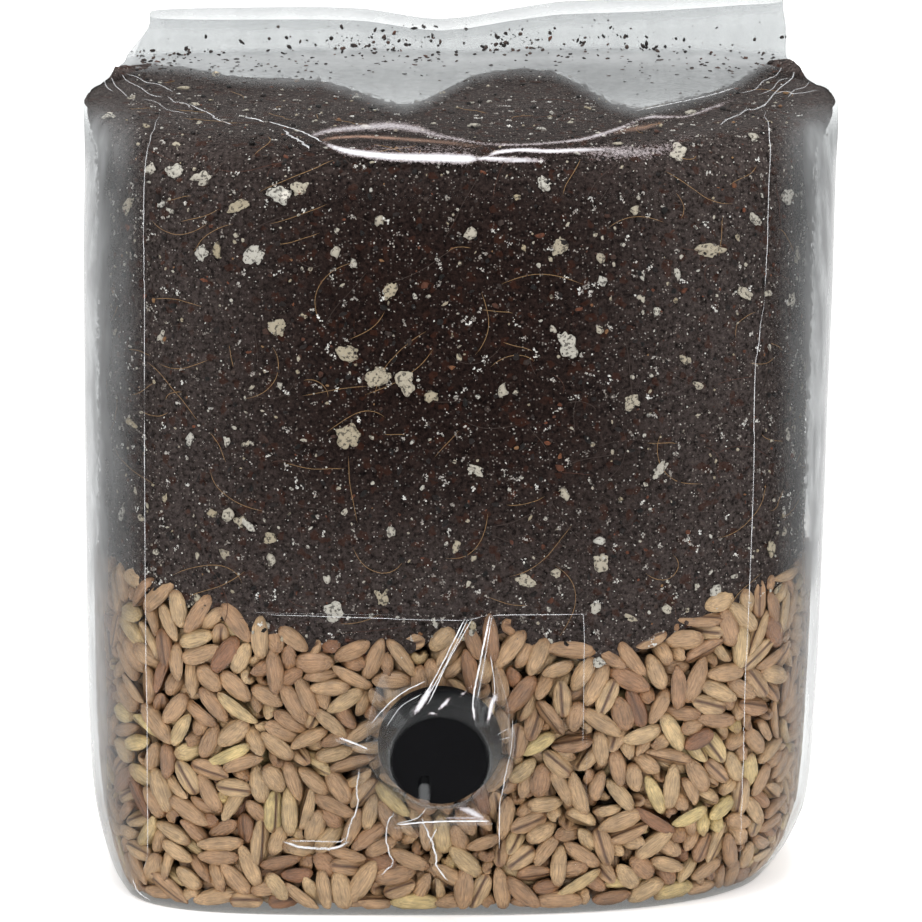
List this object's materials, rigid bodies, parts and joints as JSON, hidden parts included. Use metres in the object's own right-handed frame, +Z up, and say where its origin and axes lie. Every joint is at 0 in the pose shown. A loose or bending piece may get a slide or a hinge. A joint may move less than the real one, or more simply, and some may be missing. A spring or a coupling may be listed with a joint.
{
  "type": "mushroom grow bag",
  "caption": "Clear gusseted film bag of whole grain under dark coir substrate, with a rubber injection port in front, for growing mushrooms.",
  "frame": {"origin": "on the floor plane under the middle of the whole bag's box", "axes": "+Z up, the front with the injection port faces -Y, +X to the right seen from the front"},
  "size_m": [0.1186, 0.099, 0.1329],
  "materials": {
    "film": "clear glossy polypropylene film, slightly hazy where it stands off the filling",
    "grain": "soaked whole wheat grain, tan to reddish brown, satin",
    "substrate": "near-black coir crumb with fibres and pale vermiculite flakes, matt",
    "rubber": "moulded black butyl rubber, smooth",
    "tape": "clear glossy adhesive tape with creases and trapped air",
    "filter": "white non-woven breathing filter, matt"
  },
  "bodies": {
    "root": {"bag_film": "film", "grain_bed": "grain", "substrate_block": "substrate", "injection_port": "rubber", "port_tape": "tape", "filter_patch": "filter"}
  },
  "joints": []
}
